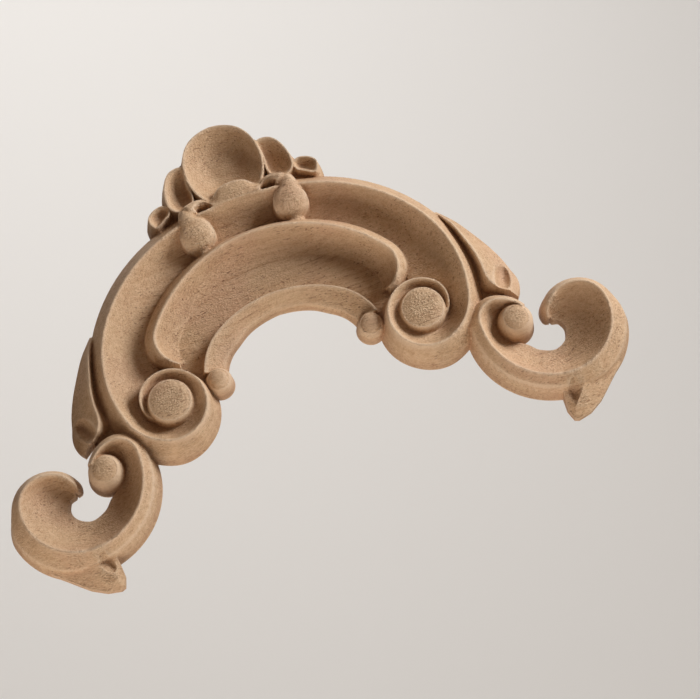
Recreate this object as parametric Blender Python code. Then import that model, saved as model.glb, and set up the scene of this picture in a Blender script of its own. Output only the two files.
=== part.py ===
# Carved corner onlay of pale hardwood: two C scrolls round a small arch, a volute with a boss at each
# foot, hooked ends with leaves, and a shell crest with drops. It is one piece of wood with a flat back.
#
# Sizes are millimetres in the plan of the face: x to the right, y up, z out of the flat back.
# The sizes describe the right half. Forms that cross the middle line are made whole, and the others
# get a mirrored twin. The finished part stands upright: +X right, +Z up, the carved face towards -Y.

import math

import bmesh
import bpy
from mathutils import Matrix, Vector

MM = 0.001

# Heights above the back
CREST = 12.0
INNER_CREST = 11.5
SMALL_CREST = 8.0
BAND_FOOT = 4.8
COVE_FLOOR = 5.0
PANEL_FLOOR = 3.0
HOOK_FLOOR = 4.0
CUP_RIM = 9.8
CUP_FOOT = 3.0
LEAF_RIM = 10.0
WEB = 4.2
BACK = 0.0

# Widths of the parts of a moulding
CREST_LAND = 0.4
COVE_LIP = 0.28
TUCK_DROP = 0.4
JOINT_STEP = 0.06
ORIGIN_HEIGHT = 50.0

# Fineness of the facets
LONGEST_STEP = 3.3
WIDEST_TURN = 11.5
COVE_STEPS = 4
FLAT_ANGLE = 0.1

# Crest lines: a start, a heading in degrees, and tangent arcs as (radius, turn to the left)
SCROLL_LINE = ((0, 54.0), 0, ((81, -17), (51, -38.7), (36.6, -52.1), (15.9, -54.5), (11.6, -105.2),
                              (10.4, -134), (7, -60), (6, -40)))
RING_START = 128
INNER_LINE = ((0, 42.1), 0, ((47, -53.2), (8.3, -66.7), (7.3, -30.7), (4.4, -21.3)))
SMALL_LINE = ((0, 22.3), 0, ((37.6, -30.8), (19.5, -43)))
HOOK_LINE = ((69.6, -10), 123, ((10.7, 46.7), (6, 94.6), (22.3, 82.4), (18.2, 71.5), (15.3, 43.5),
                                (8.6, 59.3), (10.2, 72), (4, 30), (1.2, 50)))

# Widths along a crest, as (length along it, width)
SCROLL_BAND = ((0, 4.8), (100, 4.9), (108, 5.0), (118, 4.0), (128, 3.4), (136, 2.3), (144, 1.2), (164, 0.7))
SCROLL_SHOULDER = ((0, 4.5), (98, 4.4), (112, 2.6), (128, 1.6), (136, 1.2), (144, 0.7), (164, 0.4))
SCROLL_COVE = ((0, 8.6), (25, 9.0), (60, 10.5), (75, 14.0), (81, 13.8), (90, 8.6), (100, 6.2), (110, 5.4),
               (128, 4.0), (136, 3.2), (144, 2.6), (164, 1.5))
INNER_BAND = ((0, 3.3), (15, 3.9), (35, 4.8), (50, 4.6), (55, 2.4), (59, 1.2))
SMALL_SLOPE = ((0, 4.3), (12, 4.9), (20, 5.8), (33, 6.0))
HOOK_BAND = ((0, 2.2), (12, 3.6), (30, 4.8), (50, 5.1), (66, 6.5), (78, 6.2), (86, 4.0), (100, 3.0),
             (109, 1.5), (110, 0.8))
HOOK_SHOULDER = ((0, 0.7), (10, 0.6), (52, 0.56), (64, 0.74), (110, 0.78))  # as a share of the band

# Heights along a crest, as (length along it, height)
LEVEL_CREST = ((0, CREST),)
RING_CREST = ((0, CREST - JOINT_STEP), (150, CREST - JOINT_STEP), (164, 9.0))
INNER_LEVEL = ((0, INNER_CREST),)
HOOK_CREST = ((0, CREST), (92, CREST), (110, 6.8))
HOOK_SHOULDER_HEIGHT = ((0, 8.6), (10, 9.2), (52, 9.0), (64, 7.0), (102, 6.6), (110, 3.4))

# Where the hollow of the inner scroll meets the panel, as (length along its crest, x, y)
INNER_EDGE = ((0, 0, 33.8), (15, 12.8, 32.6), (24, 20.0, 29.8),
              (33, 26.8, 25.8), (45, 32.4, 19.1), (51, 33.4, 15.8), (55, 33.4, 13.8), (59, 32.6, 12.2))

# The inner edge of the hook, as (length along its crest, x, y): round the small boss, then the opening
HOOK_EDGE = ((0, 67.6, -10.8), (7, 65.4, -9.9), (14, 63.2, -11.6), (22, 62.9, -14.6), (30, 64.6, -18.0),
             (36, 67.8, -20.4), (43, 70.6, -23.2), (54, 75.2, -24.8), (65, 79.2, -22.9), (80, 80.7, -19.4),
             (92, 79.9, -16.8), (100, 79.0, -16.0), (106, 77.9, -15.7), (110, 77.0, -15.6))

# The leaf beside the scroll: its edge along the groove, and its outline
LEAF_EDGE = ((54.6, 32.6), (59.4, 24.6), (62.3, 15.5), (63.3, 7.5), (64.0, 0.8), (66.8, -2.3))
LEAF_OUTLINE = ((55.0, 34.0), (61.2, 26.4), (66.6, 18.0), (70.6, 9.0), (73.0, 0.6), (70.8, -5.0))

# Flat pieces of ground that join the carved parts: outline and height
WEB_GROUND = ([(51, 33), (55.5, 31.6), (62, 21), (66, 4), (68, -6), (60, -8), (54, -4)], WEB)
FOOT_GROUND = ([(21, 8), (28, 16), (41, 18), (46, 12), (40, 4), (32, -1), (26.5, -1)], 3.3)
CROWN_GROUND = ([(0, 48), (24, 48), (27, 55), (20, 66), (8, 78), (0, 79)], 4.4)

# Turned bosses: centre, and a profile of (radius, height) from the top down
BIG_BOSS = ((41.0, 0.2), ((3.6, 12.5), (6.0, 12.0), (7.1, 11.0), (7.4, 8.0), (7.6, BACK)))
SMALL_BOSS = ((66.5, -12.9), ((2.6, 12.3), (3.7, 11.4), (5.0, 9.2), (5.8, 6.0), (6.0, BACK)))
BEAD = ((24.8, 2.2), ((1.8, 9.3), (3.2, 8.3), (4.1, 6.0), (4.5, 3.4), (4.6, BACK)))

# Cups of the crest: rim outline, the height of the rim, how far the outside flares, and the dish
SHELL_RIM = ((0, 79.9), (6, 78.5), (10.1, 75.0), (12.0, 70), (12.2, 65), (11.0, 60.4), (8.3, 56.7))
LOBE_RIM = ((12, 70.6), (15.2, 70.9), (18.3, 69.0), (20.0, 65.2), (20.6, 61.4), (20.0, 58.8), (17.6, 56.8),
            (13.2, 58.2), (11.4, 64))
BUD_RIM = ((20.8, 60.2), (25.2, 60.0), (28.0, 57.6), (28.8, 54.0), (28.2, 51.6), (23.5, 50.9), (20.0, 54.4))


def blend(table, place):
    """A smooth value from a table of (place, value)."""
    if place <= table[0][0]:
        return table[0][1]
    for (a, low), (b, high) in zip(table, table[1:]):
        if place <= b:
            t = (place - a) / (b - a)
            return low + (high - low) * t * t * (3 - 2 * t)
    return table[-1][1]


def walk(line):
    """Stations along tangent arcs, each (length, x, y, outward x, outward y)."""
    (x, y), heading, arcs = line
    angle = math.radians(heading)
    side = -1 if arcs[0][1] > 0 else 1
    stations = []

    def note(length):
        stations.append((length, x, y, -side * math.sin(angle), side * math.cos(angle)))

    note(0.0)
    length = 0.0
    for radius, turn in arcs:
        arc = radius * math.radians(abs(turn))
        steps = max(math.ceil(abs(turn) / WIDEST_TURN), math.ceil(arc / LONGEST_STEP))
        swing = math.radians(turn) / steps
        chord = 2 * radius * math.sin(abs(swing) / 2)
        for _ in range(steps):
            x += chord * math.cos(angle + swing / 2)
            y += chord * math.sin(angle + swing / 2)
            angle += swing
            length += radius * abs(swing)
            note(length)
    return stations


def spline(points, closed, steps):
    """A smooth curve through the points, with the given number of steps between neighbours."""
    count = len(points)
    spans = count if closed else count - 1
    curve = []
    for i in range(spans):
        places = [(i + k) % count if closed else min(max(i + k, 0), count - 1) for k in (-1, 0, 1, 2)]
        near = [points[place] for place in places]
        for step in range(steps):
            t = step / steps
            curve.append(tuple(0.5 * (2 * b + (c - a) * t + (2 * a - 5 * b + 4 * c - d) * t * t
                                      + (3 * b - a - 3 * c + d) * t ** 3) for a, b, c, d in zip(*near)))
    if not closed:
        curve.append(tuple(points[-1]))
    return curve


def solid(name, loops, ends_in_ridge=False):
    """A closed body skinned over loops of points. Its end loops are filled, unless the last is a ridge."""
    mesh = bpy.data.meshes.new(name)
    shape = bmesh.new()
    rings = [[shape.verts.new(Vector(point) * MM) for point in loop] for loop in loops]
    count = len(rings[0])
    for ring, following in zip(rings, rings[1:]):
        for i in range(count):
            shape.faces.new((ring[i], ring[(i + 1) % count], following[(i + 1) % count], following[i]))
    shape.faces.new(rings[0])
    if ends_in_ridge:
        bmesh.ops.remove_doubles(shape, verts=rings[-1], dist=1e-7)
    else:
        shape.faces.new(rings[-1])
    bmesh.ops.triangulate(shape, faces=[face for face in shape.faces if len(face.verts) == 4])
    bmesh.ops.recalc_face_normals(shape, faces=shape.faces[:])
    shape.to_mesh(mesh)
    shape.free()
    thing = bpy.data.objects.new(name, mesh)
    bpy.context.scene.collection.objects.link(thing)
    return thing


def cove(high, low, steps=COVE_STEPS):
    """Heights down a hollow moulding, as (share of the way, height)."""
    shares = [(i + 1) / steps for i in range(steps)]
    return [(share, low + (high - low) * (COVE_LIP * (1 - share) + (1 - COVE_LIP) * (1 - share) ** 2))
            for share in shares]


def across_middle(loops):
    """Loops of the right half, from the middle line on, with their mirror images before them."""
    return [[(-x, y, z) for x, y, z in loop] for loop in reversed(loops[1:])] + loops


def moulding(stations, crest, band, shoulder, inner_points, floor, tuck):
    """Loops of a band outside a crest and a hollow inside it, swept along the stations.

    crest and band are tables along the length, inner_points gives where the hollow ends, and tuck is how
    far its floor runs on from there."""
    loops = []
    for (length, x, y, out_x, out_y), (inner_x, inner_y) in zip(stations, inner_points):
        def across(width, height):
            return (x + out_x * width, y + out_y * width, height)

        top = blend(crest, length)
        wide = blend(band, length)
        shoulder_width, shoulder_height = shoulder(length)
        loop = [across(wide, BACK), across(shoulder_width, shoulder_height), across(CREST_LAND / 2, top)]
        for share, height in [(0.0, top)] + cove(top, floor):
            from_x, from_y, _ = across(-CREST_LAND / 2, 0)
            loop.append((from_x + (inner_x - from_x) * share, from_y + (inner_y - from_y) * share, height))
        reach = math.hypot(inner_x - x, inner_y - y)
        tuck_x = inner_x + (inner_x - x) / reach * tuck
        tuck_y = inner_y + (inner_y - y) / reach * tuck
        if tuck > 0.5:
            loop.append((tuck_x, tuck_y, floor - TUCK_DROP))
        loop.append((tuck_x, tuck_y, BACK))
        loops.append(loop)
    return loops


def inward(stations, table):
    """Points at a given width inside each station."""
    return [(x - out_x * blend(table, length), y - out_y * blend(table, length))
            for length, x, y, out_x, out_y in stations]


def scroll_shoulder(length):
    return blend(SCROLL_SHOULDER, length), blend(((0, BAND_FOOT), (98, BAND_FOOT), (112, 6.5)), length)


def outer_scroll():
    stations = [place for place in walk(SCROLL_LINE) if place[0] < RING_START]
    cove_end = inward(stations, SCROLL_COVE)
    loops = moulding(stations, LEVEL_CREST, SCROLL_BAND, scroll_shoulder, cove_end, COVE_FLOOR, 2.2)
    return solid("outer_scroll", across_middle(loops))


def ring():
    """The last turn of the outer scroll, which stands round the boss inside its own cove."""
    stations = [place for place in walk(SCROLL_LINE) if place[0] > RING_START - 6]
    band = [(length, width - JOINT_STEP) for length, width in SCROLL_BAND]
    groove = [(length, width - JOINT_STEP) for length, width in SCROLL_COVE]

    def shoulder(length):
        width, height = scroll_shoulder(length)
        return width - JOINT_STEP, height - JOINT_STEP

    return solid("ring", moulding(stations, RING_CREST, band, shoulder, inward(stations, groove),
                                  COVE_FLOOR - JOINT_STEP, 1.2))


def inner_scroll():
    stations = walk(INNER_LINE)
    edge = [tuple(blend_smooth(INNER_EDGE, column, place[0]) for column in (1, 2)) for place in stations]

    def shoulder(length):
        return blend(INNER_BAND, length) * 0.6, 8.6

    loops = moulding(stations, INNER_LEVEL, INNER_BAND, shoulder, edge, PANEL_FLOOR, 1.5)
    return solid("inner_scroll", across_middle(loops))


def hook():
    stations = walk(HOOK_LINE)
    edge = [tuple(blend_smooth(HOOK_EDGE, column, place[0]) for column in (1, 2)) for place in stations]

    def shoulder(length):
        return blend(HOOK_BAND, length) * blend(HOOK_SHOULDER, length), blend(HOOK_SHOULDER_HEIGHT, length)

    return solid("hook", moulding(stations, HOOK_CREST, HOOK_BAND, shoulder, edge, HOOK_FLOOR, 0.0))


def blend_smooth(table, column, place):
    """A value from a table by a smooth curve through its rows."""
    rows = [(row[0], row[column]) for row in table]
    curve = spline(rows, False, 12)
    for (a, low), (b, high) in zip(curve, curve[1:]):
        if place <= b:
            return low + (high - low) * max(place - a, 0) / (b - a)
    return curve[-1][1]


def small_arch():
    loops = []
    for length, x, y, out_x, out_y in walk(SMALL_LINE):
        slope = blend(SMALL_SLOPE, length)
        widths = ((1.4, BACK), (0.9, PANEL_FLOOR), (0.2, SMALL_CREST), (-0.3, SMALL_CREST),
                  (-slope * 0.55, SMALL_CREST - 2.2), (-slope, 4.4), (-slope - 1.0, BACK))
        loops.append([(x + out_x * width, y + out_y * width, height) for width, height in widths])
    return solid("small_arch", across_middle(loops))


def panel():
    """The flat floor between the inner scroll and the small arch."""
    outer = [(x - 4.5 * out_x, y - 4.5 * out_y) for _, x, y, out_x, out_y in walk(INNER_LINE)]
    inner = [(x - out_x, y - out_y) for _, x, y, out_x, out_y in walk(SMALL_LINE)]
    return plate("panel", both_sides(outer[:-3] + [(31.5, 4), (26, 3)] + inner[-2::-1]), PANEL_FLOOR + 0.05)


def turned(name, boss, sides=26):
    """A boss or bead turned about an axis out of the face."""
    (cx, cy), profile = boss
    loops = []
    turns = [math.tau * i / sides for i in range(sides)]
    for radius, height in profile:
        loops.append([(cx + radius * math.cos(turn), cy + radius * math.sin(turn), height) for turn in turns])
    return solid(name, loops)


def cup(name, rim, height, flare, dish, depth, steps=3):
    """A hollow petal: an outside wall, a rim, and a dish sunk towards one place."""
    outline = spline(rim, True, steps)
    cx = sum(x for x, _ in outline) / len(outline)
    cy = sum(y for _, y in outline) / len(outline)
    loops = []
    for grow, level in ((flare + 0.4, BACK), (flare, CUP_FOOT), (0.2, height), (-0.2, height)):
        loops.append([(x + grow * (x - cx) / math.hypot(x - cx, y - cy),
                       y + grow * (y - cy) / math.hypot(x - cx, y - cy), level) for x, y in outline])
    for share in (0.76, 0.42, 0.0):
        loops.append([(dish[0] + (x - dish[0]) * share, dish[1] + (y - dish[1]) * share,
                       height - depth * (1 - share * share)) for x, y in outline])
    return solid(name, loops, ends_in_ridge=True)


def bump(name, path, sides=8):
    """A rounded form lying on the face. Each row of the path is (x, y, half width, top height)."""
    loops = []
    for x, y, half, top in path:
        low = 1.5
        arch = [(x + half * math.cos(math.pi * i / sides), y, low + (top - low) * math.sin(math.pi * i / sides))
                for i in range(sides + 1)]
        loops.append([(x + half, y, BACK)] + arch + [(x - half, y, BACK)])
    return solid(name, loops)


def leaf():
    """The leaf behind the volute: a raised edge beside the scroll, sloping away to a low outline."""
    edge = spline(LEAF_EDGE, False, 4)
    outline = spline(LEAF_OUTLINE, False, 4)
    loops = []
    for i, ((x, y), (out_x, out_y)) in enumerate(zip(edge, outline)):
        top = blend(((0, CUP_FOOT + 0.8), (6, LEAF_RIM), (16, LEAF_RIM), (20, LEAF_RIM - 0.6)), i)
        middle = (top + CUP_FOOT) / 2 - 0.5
        loops.append([(x - 2.0, y - 0.8, BACK), (x, y, top), ((x + out_x) / 2, (y + out_y) / 2, middle),
                      (out_x, out_y, CUP_FOOT - 0.4), (out_x + 0.2, out_y, BACK)])
    return solid("leaf", loops)


def tail():
    """The pointed tip under the hook, with a ridge between two facets."""
    rim = ((72.2, -38.0, 6.0), (71.9, -43.8, 3.6), (72.8, -46.8, 2.6), (74.0, -47.3, 2.6), (78.0, -46.6, 3.0),
           (82.5, -44.0, 3.4), (88.0, -39.2, 3.8), (92.0, -35.8, 4.2), (88.0, -33.0, 9.0), (79.0, -34.5, 9.5))
    upper = (79.0, -38.4, 8.0)
    lower = (73.8, -44.2, 5.4)
    ridge = (upper, lower, lower, lower, lower, upper, upper, upper, upper, upper)
    return solid("tail", [[(x, y, BACK) for x, y, _ in rim], rim, ridge], ends_in_ridge=True)


def plate(name, outline, height):
    return solid(name, [[(x, y, z) for x, y in outline] for z in (BACK, height)])


def both_sides(outline):
    """An outline from the middle line round the right side, closed by its mirror image."""
    return list(outline) + [(-x, y) for x, y in reversed(outline) if x > 0]


def shell():
    return cup("shell", both_sides(SHELL_RIM), CUP_RIM, 1.3, (0, 68.4), 6.0)


def tongue():
    """The swelling under the shell that runs into the outer scroll."""
    return bump("tongue", [(0, 47.0, 6.0, 6.0), (0, 50.4, 9.2, 9.6), (0, 53.6, 10.4, 12.3),
                           (0, 56.4, 9.0, 12.2), (0, 58.6, 6.6, 11.2), (0, 60.0, 4.0, 9.4)])


def drop():
    """The bulb on a neck that hangs over the cove."""
    return bump("drop", [(13.6, 57.8, 3.4, 10.0), (14.2, 56.6, 3.6, 11.8), (15.8, 54.6, 3.1, 12.9),
                         (16.3, 52.8, 3.2, 13.3), (15.9, 51.0, 3.9, 13.4), (15.3, 48.8, 5.0, 13.3),
                         (15.2, 46.4, 5.2, 12.8), (15.1, 44.0, 4.3, 11.2), (15.0, 42.1, 2.3, 8.4)])


def clear_scene():
    for thing in list(bpy.data.objects):
        bpy.data.objects.remove(thing, do_unlink=True)


def wood():
    material = bpy.data.materials.new("pale_hardwood")
    material.use_nodes = True
    shader = material.node_tree.nodes["Principled BSDF"]
    shader.inputs["Base Color"].default_value = (0.55, 0.38, 0.24, 1)
    shader.inputs["Roughness"].default_value = 0.62
    shader.inputs["Metallic"].default_value = 0.0
    material.diffuse_color = (0.55, 0.38, 0.24, 1)
    return material


def mirrored(part):
    """A twin of a part on the other side of the middle line."""
    mesh = part.data.copy()
    mesh.transform(Matrix.Scale(-1, 4, (1, 0, 0)))
    mesh.flip_normals()
    twin = bpy.data.objects.new(part.name + "_twin", mesh)
    bpy.context.scene.collection.objects.link(twin)
    return twin


def unite(base, parts):
    """Unite the parts with the base, one after another, and merge what is flat."""
    for part in parts:
        union = base.modifiers.new("with_" + part.name, "BOOLEAN")
        union.operation = "UNION"
        union.solver = "EXACT"
        union.object = part
        part.hide_render = True
        part.display_type = "WIRE"
    merge = base.modifiers.new("merge_flat_faces", "DECIMATE")
    merge.decimate_type = "DISSOLVE"
    merge.angle_limit = math.radians(FLAT_ANGLE)


def main():
    clear_scene()
    onlay = outer_scroll()
    onlay.name = "corner_onlay"
    crown, crown_height = CROWN_GROUND
    middle = [inner_scroll(), small_arch(), panel(), shell(), tongue(),
              plate("crown_back", both_sides(crown), crown_height)]
    sides = [ring(), turned("bead", BEAD), turned("big_boss", BIG_BOSS),
             hook(), turned("small_boss", SMALL_BOSS), leaf(), tail(),
             plate("web", *WEB_GROUND), plate("foot", *FOOT_GROUND),
             cup("lobe", LOBE_RIM, 9.2, 1.4, (16, 63), 5.4), cup("bud", BUD_RIM, 8.4, 1.0, (24.5, 55.5), 4.2),
             drop()]
    parts = middle + sides + [mirrored(part) for part in sides]
    unite(onlay, parts)

    upright = Matrix.Rotation(math.radians(90), 4, "X")
    for thing in [onlay] + parts:
        thing.matrix_world = Matrix.Translation((0, 0, -ORIGIN_HEIGHT * MM)) @ upright
    onlay.data.materials.append(wood())
    onlay.data.shade_smooth()
    onlay.data.set_sharp_from_angle(angle=math.radians(30))


main()
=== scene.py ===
import math

import bmesh
import bpy
import numpy as np
from mathutils import Matrix, Vector
from mathutils.bvhtree import BVHTree
from mathutils.geometry import delaunay_2d_cdt


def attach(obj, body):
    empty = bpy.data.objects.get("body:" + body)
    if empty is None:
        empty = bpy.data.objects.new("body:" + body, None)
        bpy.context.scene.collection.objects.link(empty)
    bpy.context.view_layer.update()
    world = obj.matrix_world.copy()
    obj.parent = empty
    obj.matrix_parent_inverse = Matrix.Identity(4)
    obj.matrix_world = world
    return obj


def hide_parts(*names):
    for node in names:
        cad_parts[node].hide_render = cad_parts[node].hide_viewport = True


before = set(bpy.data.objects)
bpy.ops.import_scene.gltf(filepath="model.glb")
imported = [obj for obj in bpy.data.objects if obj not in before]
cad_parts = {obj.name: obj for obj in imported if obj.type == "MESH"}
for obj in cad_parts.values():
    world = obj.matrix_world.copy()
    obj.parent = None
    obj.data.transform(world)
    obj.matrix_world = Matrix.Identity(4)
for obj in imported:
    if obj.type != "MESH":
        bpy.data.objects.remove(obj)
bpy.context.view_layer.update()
print("frame loaded")

mm = 0.001
originHeight = 50.0  # the frame's origin is this far up the drawing


# Sockets that can be added, multiplied and compared
class Wire:
    def __init__(self, graph, socket):
        self.graph = graph
        self.socket = socket

    def joined(self, operation, other, swapped=False):
        pair = (other, self) if swapped else (self, other)
        sockets = {0: pair[0], 1: pair[1]}
        vectors = [vectorLike(one) for one in pair]
        if not any(vectors):
            return self.graph.node("ShaderNodeMath", {"operation": operation}, sockets)
        if operation == "MULTIPLY" and not all(vectors):
            operation = "SCALE"
            sockets = {0: pair[vectors.index(True)], "Scale": pair[vectors.index(False)]}
        return self.graph.node("ShaderNodeVectorMath", {"operation": operation}, sockets)

    def __add__(self, other):
        return self.joined("ADD", other)

    def __radd__(self, other):
        return self.joined("ADD", other, True)

    def __sub__(self, other):
        return self.joined("SUBTRACT", other)

    def __rsub__(self, other):
        return self.joined("SUBTRACT", other, True)

    def __mul__(self, other):
        return self.joined("MULTIPLY", other)

    def __rmul__(self, other):
        return self.joined("MULTIPLY", other, True)

    def __truediv__(self, other):
        return self.joined("DIVIDE", other)

    def __rtruediv__(self, other):
        return self.joined("DIVIDE", other, True)

    def __pow__(self, other):
        return self.joined("POWER", other)

    def __gt__(self, other):
        return self.joined("GREATER_THAN", other)

    def alone(self, operation):
        return self.graph.node("ShaderNodeMath", {"operation": operation}, {0: self})

    def floor(self):
        return self.alone("FLOOR")

    def root(self):
        return self.alone("SQRT")

    def clamped(self):
        return self.graph.node("ShaderNodeClamp", {}, {"Value": self})

    def eased(self, low, high):  # 0 below low, 1 above high, smooth between
        return self.graph.node("ShaderNodeMapRange", {"interpolation_type": "SMOOTHSTEP"},
                               {"Value": self, "From Min": low, "From Max": high})


def vectorLike(value):
    return isinstance(value, tuple) or (isinstance(value, Wire) and value.socket.type in ("VECTOR", "RGBA"))


class Graph:
    def __init__(self, tree):
        self.tree = tree

    def node(self, kind, settings=None, sockets=None, out=0):
        made = self.tree.nodes.new(kind)
        for name, value in (settings or {}).items():
            setattr(made, name, value)
        for name, value in (sockets or {}).items():
            self.feed(self.find(made.inputs, name), value)
        return Wire(self, self.find(made.outputs, out))

    def find(self, sockets, name):
        if isinstance(name, int):
            return [socket for socket in sockets if socket.enabled][name]
        return next(socket for socket in sockets if socket.enabled and socket.name == name)

    def feed(self, socket, value):
        if isinstance(value, Wire):
            self.tree.links.new(value.socket, socket)
        else:
            socket.default_value = value

    def mix(self, factor, first, second):  # of two colours
        return self.node("ShaderNodeMix", {"data_type": "RGBA"}, {"Factor": factor, "A": first, "B": second})


# The carved form: a strip swept along a rail. A wall and a band rise to its crest, and inside the crest it
# has a hollow or a swell
formSteps = dict(wall=3, band=8, hollow=20)  # columns over each stretch of the strip
# crestLand is the width of the crest, lip the part of the hollow's fall that is even, power the curve of the
# rest, swell is 1 on a domed form, and tuck and tuckDrop carry the strip on below the next form
formSizes = dict(crestLand=0.4, lip=0.28, power=2.0, swell=0.0, tuck=0.0, tuckDrop=0.4)
dropLean = 0.15  # how far the last column leans inwards on its way down to the back

shoulderColumn = formSteps["wall"]
crestColumn = shoulderColumn + formSteps["band"]
innerCrestColumn = crestColumn + 1
innerEdgeColumn = innerCrestColumn + formSteps["hollow"]
tuckColumn = innerEdgeColumn + 1
dropColumn = tuckColumn + 1
columnCount = dropColumn + 1


def carvedFormTree(material):
    tree = bpy.data.node_groups.new("carvedForm", "GeometryNodeTree")
    tree.interface.new_socket("Rail", in_out="INPUT", socket_type="NodeSocketGeometry")
    for name, value in formSizes.items():
        tree.interface.new_socket(name, in_out="INPUT", socket_type="NodeSocketFloat").default_value = value
    tree.interface.new_socket("Form", in_out="OUTPUT", socket_type="NodeSocketGeometry")
    graph = Graph(tree)
    start = graph.node("NodeGroupInput")
    size = {socket.name: Wire(graph, socket) for socket in start.socket.node.outputs if socket.name}
    rail = size["Rail"]
    count = graph.node("GeometryNodeAttributeDomainSize", {"component": "MESH"}, {0: rail}, "Point Count")
    sheet = graph.node("GeometryNodeMeshGrid", {}, {"Vertices X": count, "Vertices Y": columnCount}, "Mesh")
    index = graph.node("GeometryNodeInputIndex")
    row = ((index + 0.5) / columnCount).floor()
    column = index - row * columnCount

    def along(name, kind="FLOAT"):  # what the rail says at this row
        named = graph.node("GeometryNodeInputNamedAttribute", {"data_type": kind}, {"Name": name})
        return graph.node("GeometryNodeSampleIndex", {"data_type": kind, "domain": "POINT"},
                          {0: rail, "Value": named, "Index": row})

    place = graph.node("GeometryNodeSampleIndex", {"data_type": "FLOAT_VECTOR", "domain": "POINT"},
                       {0: rail, "Value": graph.node("GeometryNodeInputPosition"), "Index": row})
    upWall = (column / formSteps["wall"]).clamped()
    upBand = ((column - shoulderColumn) / formSteps["band"]).clamped()
    inside = column > innerCrestColumn - 0.5
    across = ((column - innerCrestColumn) / formSteps["hollow"]).clamped()
    tucked = column > tuckColumn - 0.5
    dropped = column > dropColumn - 0.5

    bandWidth, crest, floorHeight = along("bandWidth"), along("crestHeight"), along("floorHeight")
    shoulderWidth, shoulderHeight = along("shoulderWidth"), along("shoulderHeight")
    width = (bandWidth + (shoulderWidth - bandWidth) * upWall
             + (size["crestLand"] * 0.5 - shoulderWidth) * upBand - size["crestLand"] * inside)
    rounded = upBand + along("bulge") * upBand * (1 - upBand)
    outside = shoulderHeight * upWall + (crest - shoulderHeight) * rounded
    cut = 1 - across
    scooped = size["lip"] * cut + (1 - size["lip"]) * cut ** size["power"]
    swollen = 1 - (across * (2 - across)).root()
    share = scooped + (swollen - scooped) * size["swell"]
    within = (floorHeight + (crest - floorHeight) * share - size["tuckDrop"] * tucked) * (1 - dropped)
    height = outside + (within - outside) * inside

    edge = place + along("outward", "FLOAT_VECTOR") * width
    toInner = along("innerEdge", "FLOAT_VECTOR") - edge
    onward = graph.node("ShaderNodeVectorMath", {"operation": "NORMALIZE"}, {0: toInner})
    flat = edge + toInner * across + onward * (size["tuck"] * tucked + dropped * dropLean)
    parts = graph.node("ShaderNodeSeparateXYZ", {}, {0: flat}).socket.node
    point = graph.node("ShaderNodeCombineXYZ", {}, {"X": Wire(graph, parts.outputs["X"]),
                                                    "Y": Wire(graph, parts.outputs["Y"]), "Z": height})
    formed = graph.node("GeometryNodeSetPosition", {}, {"Geometry": sheet, "Position": point})
    real = graph.node("GeometryNodeRealizeInstances", {}, {0: formed})
    done = graph.node("GeometryNodeSetMaterial", {}, {"Geometry": real, "Material": material})
    graph.feed(tree.nodes.new("NodeGroupOutput").inputs[0], done)
    return tree


# Lines and tables of the drawing. An arc's steps are at most arcStep millimetres and arcTurn degrees long,
# middleReach is how far a line goes past the middle, nearMiddle keeps a closed form from ending in one point,
# and the others count steps
drafting = dict(arcStep=0.5, arcTurn=5, middleReach=18.0, edgeSteps=12, pathSteps=6, endRays=13, bossRays=97,
                rimSteps=10, leafSteps=20, tailSteps=8, tongueSteps=8, nearMiddle=0.01)


def arcLine(start, heading, arcs):  # stations (length, x, y, outward x, outward y) along tangent arcs
    x, y = start
    angle = math.radians(heading)
    side = -1 if arcs[0][1] > 0 else 1
    length = 0.0
    stations = [(length, x, y, -side * math.sin(angle), side * math.cos(angle))]
    for radius, turn in arcs:
        steps = max(math.ceil(radius * math.radians(abs(turn)) / drafting["arcStep"]),
                    math.ceil(abs(turn) / drafting["arcTurn"]))
        swing = math.radians(turn) / steps
        chord = 2 * radius * math.sin(abs(swing) / 2)
        for _ in range(steps):
            x += chord * math.cos(angle + swing / 2)
            y += chord * math.sin(angle + swing / 2)
            angle += swing
            length += radius * abs(swing)
            stations.append((length, x, y, -side * math.sin(angle), side * math.cos(angle)))
    return stations


def overMiddle(stations):  # carries a line that starts on the middle line over to the other side
    twin = [(-length, -x, y, -outX, outY) for length, x, y, outX, outY in stations[1:]
            if length < drafting["middleReach"]]
    return twin[::-1] + stations


# A smooth curve through a table of (place, value) that never swings past its values
def steady(table, places):
    xs, ys = np.array(table, float).T
    gaps, rises = np.diff(xs), np.diff(ys)
    slopes = rises / gaps
    tangents = np.zeros_like(ys)
    same = slopes[:-1] * slopes[1:] > 0
    tangents[1:-1][same] = 2 * slopes[:-1][same] * slopes[1:][same] / (slopes[:-1] + slopes[1:])[same]
    tangents[0], tangents[-1] = slopes[0], slopes[-1]
    at = np.clip(np.array(places, float), xs[0], xs[-1])
    k = np.clip(np.searchsorted(xs, at, side="right") - 1, 0, len(gaps) - 1)
    t = (at - xs[k]) / gaps[k]
    return (ys[k] * (2 * t ** 3 - 3 * t ** 2 + 1) + ys[k + 1] * (3 * t ** 2 - 2 * t ** 3)
            + gaps[k] * (tangents[k] * (t ** 3 - 2 * t ** 2 + t) + tangents[k + 1] * (t ** 3 - t ** 2)))


def flowing(rows, steps, closed=False):  # a smooth curve through rows of numbers
    rows = np.array(rows, float)
    count = len(rows)
    curve = []
    for i in range(count if closed else count - 1):
        near = [(i + k) % count if closed else min(max(i + k, 0), count - 1) for k in (-1, 0, 1, 2)]
        a, b, c, d = rows[near]
        for step in range(steps):
            t = step / steps
            curve.append(0.5 * (2 * b + (c - a) * t + (2 * a - 5 * b + 4 * c - d) * t * t
                                + (3 * b - a - 3 * c + d) * t ** 3))
    curve.append(rows[0] if closed else rows[-1])
    return np.array(curve)


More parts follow.
